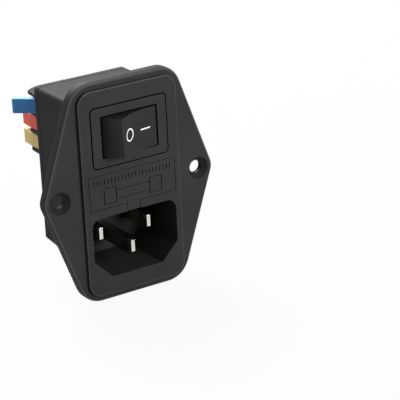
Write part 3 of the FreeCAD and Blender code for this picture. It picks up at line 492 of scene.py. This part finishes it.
def band_mesh(name, outer, inner, place, low, high):
    """Closed band between two loops of points; place(a, b, level) puts each in space."""
    bm = bmesh.new()
    rims = [[[bm.verts.new(place(a, b, level)) for a, b in loop] for loop in (outer, inner)]
            for level in (low, high)]
    (low_out, low_in), (high_out, high_in) = rims
    for k in range(len(outer)):
        j = (k + 1) % len(outer)
        bm.faces.new((high_out[k], high_out[j], high_in[j], high_in[k]))
        bm.faces.new((low_out[k], low_in[k], low_in[j], low_out[j]))
        bm.faces.new((low_out[k], low_out[j], high_out[j], high_out[k]))
        bm.faces.new((low_in[k], high_in[k], high_in[j], low_in[j]))
    bmesh.ops.recalc_face_normals(bm, faces=bm.faces)
    return finished(name, bm)


def rounded_loop(half_x, half_z, radius, steps=8):
    """Loop of points round a rectangle with round corners."""
    points = []
    for k, (side_x, side_z) in enumerate(((1, 1), (-1, 1), (-1, -1), (1, -1))):
        for j in range(steps + 1):
            t = math.pi / 2 * (k + j / steps)
            points.append((side_x * (half_x - radius) + radius * math.cos(t),
                           side_z * (half_z - radius) + radius * math.sin(t)))
    return points


def bezel_cutter():
    """Ring that trims the rim of the bezel, so that the gap round it shows."""
    outer, inner = (rounded_loop(BEZEL_X + more, BEZEL_Z + more, BEZEL_CORNER + more)
                    for more in (BEZEL_TRIM, -BEZEL_TRIM))
    return band_mesh("bezel_cut", outer, inner, lambda a, b, y: mm(a, y, SWITCH_Z + b),
                     BEZEL_FRONT - BEZEL_TRIM, BEZEL_BACK + BEZEL_TRIM)


def ribbon(name, outer, inner):
    """Thin raised mark between two loops of (across, up) points."""
    mesh = band_mesh(name, outer, inner, roof_point, -MARK_RISE, MARK_RISE)
    new_piece(name, mesh, "rocker", INK)


def oval(across, half_width, half_height, steps=64):
    """Loop of points round an oval."""
    turns = [2 * math.pi * k / steps for k in range(steps)]
    return [(across + half_width * math.cos(t), half_height * math.sin(t)) for t in turns]


def stadium(across, half_length, radius, steps=12):
    """Loop of points round a bar with round ends."""
    points = []
    for side, start in ((1, -math.pi / 2), (-1, math.pi / 2)):
        for k in range(steps + 1):
            t = start + math.pi * k / steps
            points.append((across + side * (half_length - radius) + radius * math.cos(t),
                           radius * math.sin(t)))
    return points


def filled(loop, across, half_length):
    """The loop drawn in almost to the line along its middle, so that the band fills it."""
    drawn = []
    for a, u in loop:
        middle = min(max(a, across - half_length), across + half_length)
        drawn.append((a + (middle - a) * ON_FILL, u * (1 - ON_FILL)))
    return drawn


cut_copy("curved_rocker", "switch_rocker", roof_cutter(), "rocker")
cut_copy("trimmed_frame", "switch_frame", bezel_cutter(), "housing")
ribbon("mark_off", oval(OFF_PLACE, OFF_WIDTH, OFF_HEIGHT),
       oval(OFF_PLACE, OFF_WIDTH - STROKE, OFF_HEIGHT - STROKE))
on_bar = stadium(ON_PLACE, ON_LENGTH, STROKE / 2)
ribbon("mark_on", on_bar, filled(on_bar, ON_PLACE, ON_LENGTH - STROKE / 2))

# Camera, from the fit of the module's outline
LENS, SENSOR = 168.053, 36.0
CLIP_NEAR, CLIP_FAR = 0.01, 20.0
VIEW_PLACE = mm(-217.885, -379.515, 161.051)
VIEW_RIGHT = Vector((0.835332, -0.547876, -0.045296))
VIEW_UP = Vector((0.230866, 0.274827, 0.933365))
VIEW_AHEAD = Vector((0.49892, 0.790128, -0.356058))

camera = bpy.data.cameras.new("camera")
camera.lens = LENS
camera.sensor_width = SENSOR
camera.clip_start = CLIP_NEAR
camera.clip_end = CLIP_FAR
view = add_object("camera", camera)
turn = Matrix((VIEW_RIGHT, VIEW_UP, -VIEW_AHEAD)).transposed().to_4x4()
view.matrix_world = Matrix.Translation(VIEW_PLACE) @ turn
scene.camera = view

# Floor and world: white to the eye and to reflections, softer as lights
FLOOR_REACH = 6.0
FLOOR_WHITE = 0.94
FLOOR_DARK, FLOOR_LIGHT = (0.3, 0.3, 0.3, 1.0), (0.33, 0.33, 0.33, 1.0)
SKY_COLOR, SKY_STRENGTH = (0.95, 0.97, 1.0, 1.0), 0.28


def seen_rays(tree):
    """1 for the rays that show a background: camera, glossy and transmission rays."""
    path = tree.nodes.new("ShaderNodeLightPath")
    seen = path.outputs["Is Camera Ray"]
    for key in ("Is Glossy Ray", "Is Transmission Ray"):
        either = tree.nodes.new("ShaderNodeMath")
        either.operation = "MAXIMUM"
        tree.links.new(seen, either.inputs[0])
        tree.links.new(path.outputs[key], either.inputs[1])
        seen = either.outputs["Value"]
    return seen


def mix_into(target, tree, share, other, shown):
    """Mix of two shaders, put into a target input."""
    mix = tree.nodes.new("ShaderNodeMixShader")
    tree.links.new(share, mix.inputs["Fac"])
    tree.links.new(other, mix.inputs[1])
    tree.links.new(shown, mix.inputs[2])
    tree.links.new(mix.outputs["Shader"], target)


def floor_material():
    """Grey paint that shows white."""
    s = Shader("floor_pale")
    paint = s.node("ShaderNodeBsdfDiffuse")
    cloud = s.span(s.noise(0.02, 2.0), 0.0, 1.0)
    s.link(s.blend(cloud, FLOOR_DARK, FLOOR_LIGHT), paint.inputs["Color"])
    glow = s.node("ShaderNodeEmission")
    glow.inputs["Color"].default_value = PURE_WHITE
    share = s.math("MULTIPLY", seen_rays(s.tree), FLOOR_WHITE)
    mix_into(s.out.inputs["Surface"], s.tree, share, paint.outputs["BSDF"],
             glow.outputs["Emission"])
    return s.material


def make_world():
    """White backdrop that lights the object softly."""
    world = bpy.data.worlds.new("studio")
    scene.world = world
    world.use_nodes = True
    tree = world.node_tree
    tree.nodes.clear()
    end = tree.nodes.new("ShaderNodeOutputWorld")
    skies = []
    for color, strength in ((SKY_COLOR, SKY_STRENGTH), (PURE_WHITE, 1.0)):
        sky = tree.nodes.new("ShaderNodeBackground")
        sky.inputs["Color"].default_value = color
        sky.inputs["Strength"].default_value = strength
        skies.append(sky.outputs["Background"])
    mix_into(end.inputs["Surface"], tree, seen_rays(tree), *skies)


def lamp(name, place, target, size, power):
    """Square area lamp turned to a target, in millimetres and watts."""
    data = bpy.data.lights.new(name, "AREA")
    data.shape = "SQUARE"
    data.size = size * MM
    data.energy = power
    made = add_object(name, data)
    made.location = mm(*place)
    made.rotation_mode = "QUATERNION"
    made.rotation_quaternion = (mm(*target) - mm(*place)).to_track_quat("-Z", "Y")


r, z = FLOOR_REACH, cad_low.z
floor_mesh = bpy.data.meshes.new("floor")
floor_mesh.from_pydata([(-r, -r, z), (r, -r, z), (r, r, z), (-r, r, z)], [], [(0, 1, 2, 3)])
floor_mesh.materials.append(floor_material())
floor = add_object("floor", floor_mesh)
make_world()
lamp("lamp_top", place=(40, 400, 430), target=(0, 10, 0), size=420, power=10.0)
lamp("lamp_front", place=(160, -500, 130), target=(0, 0, -20), size=260, power=3.9)
lamp("lamp_back", place=(-160, 460, 300), target=(0, 20, 10), size=300, power=0.8)
scene.view_settings.view_transform = "Standard"
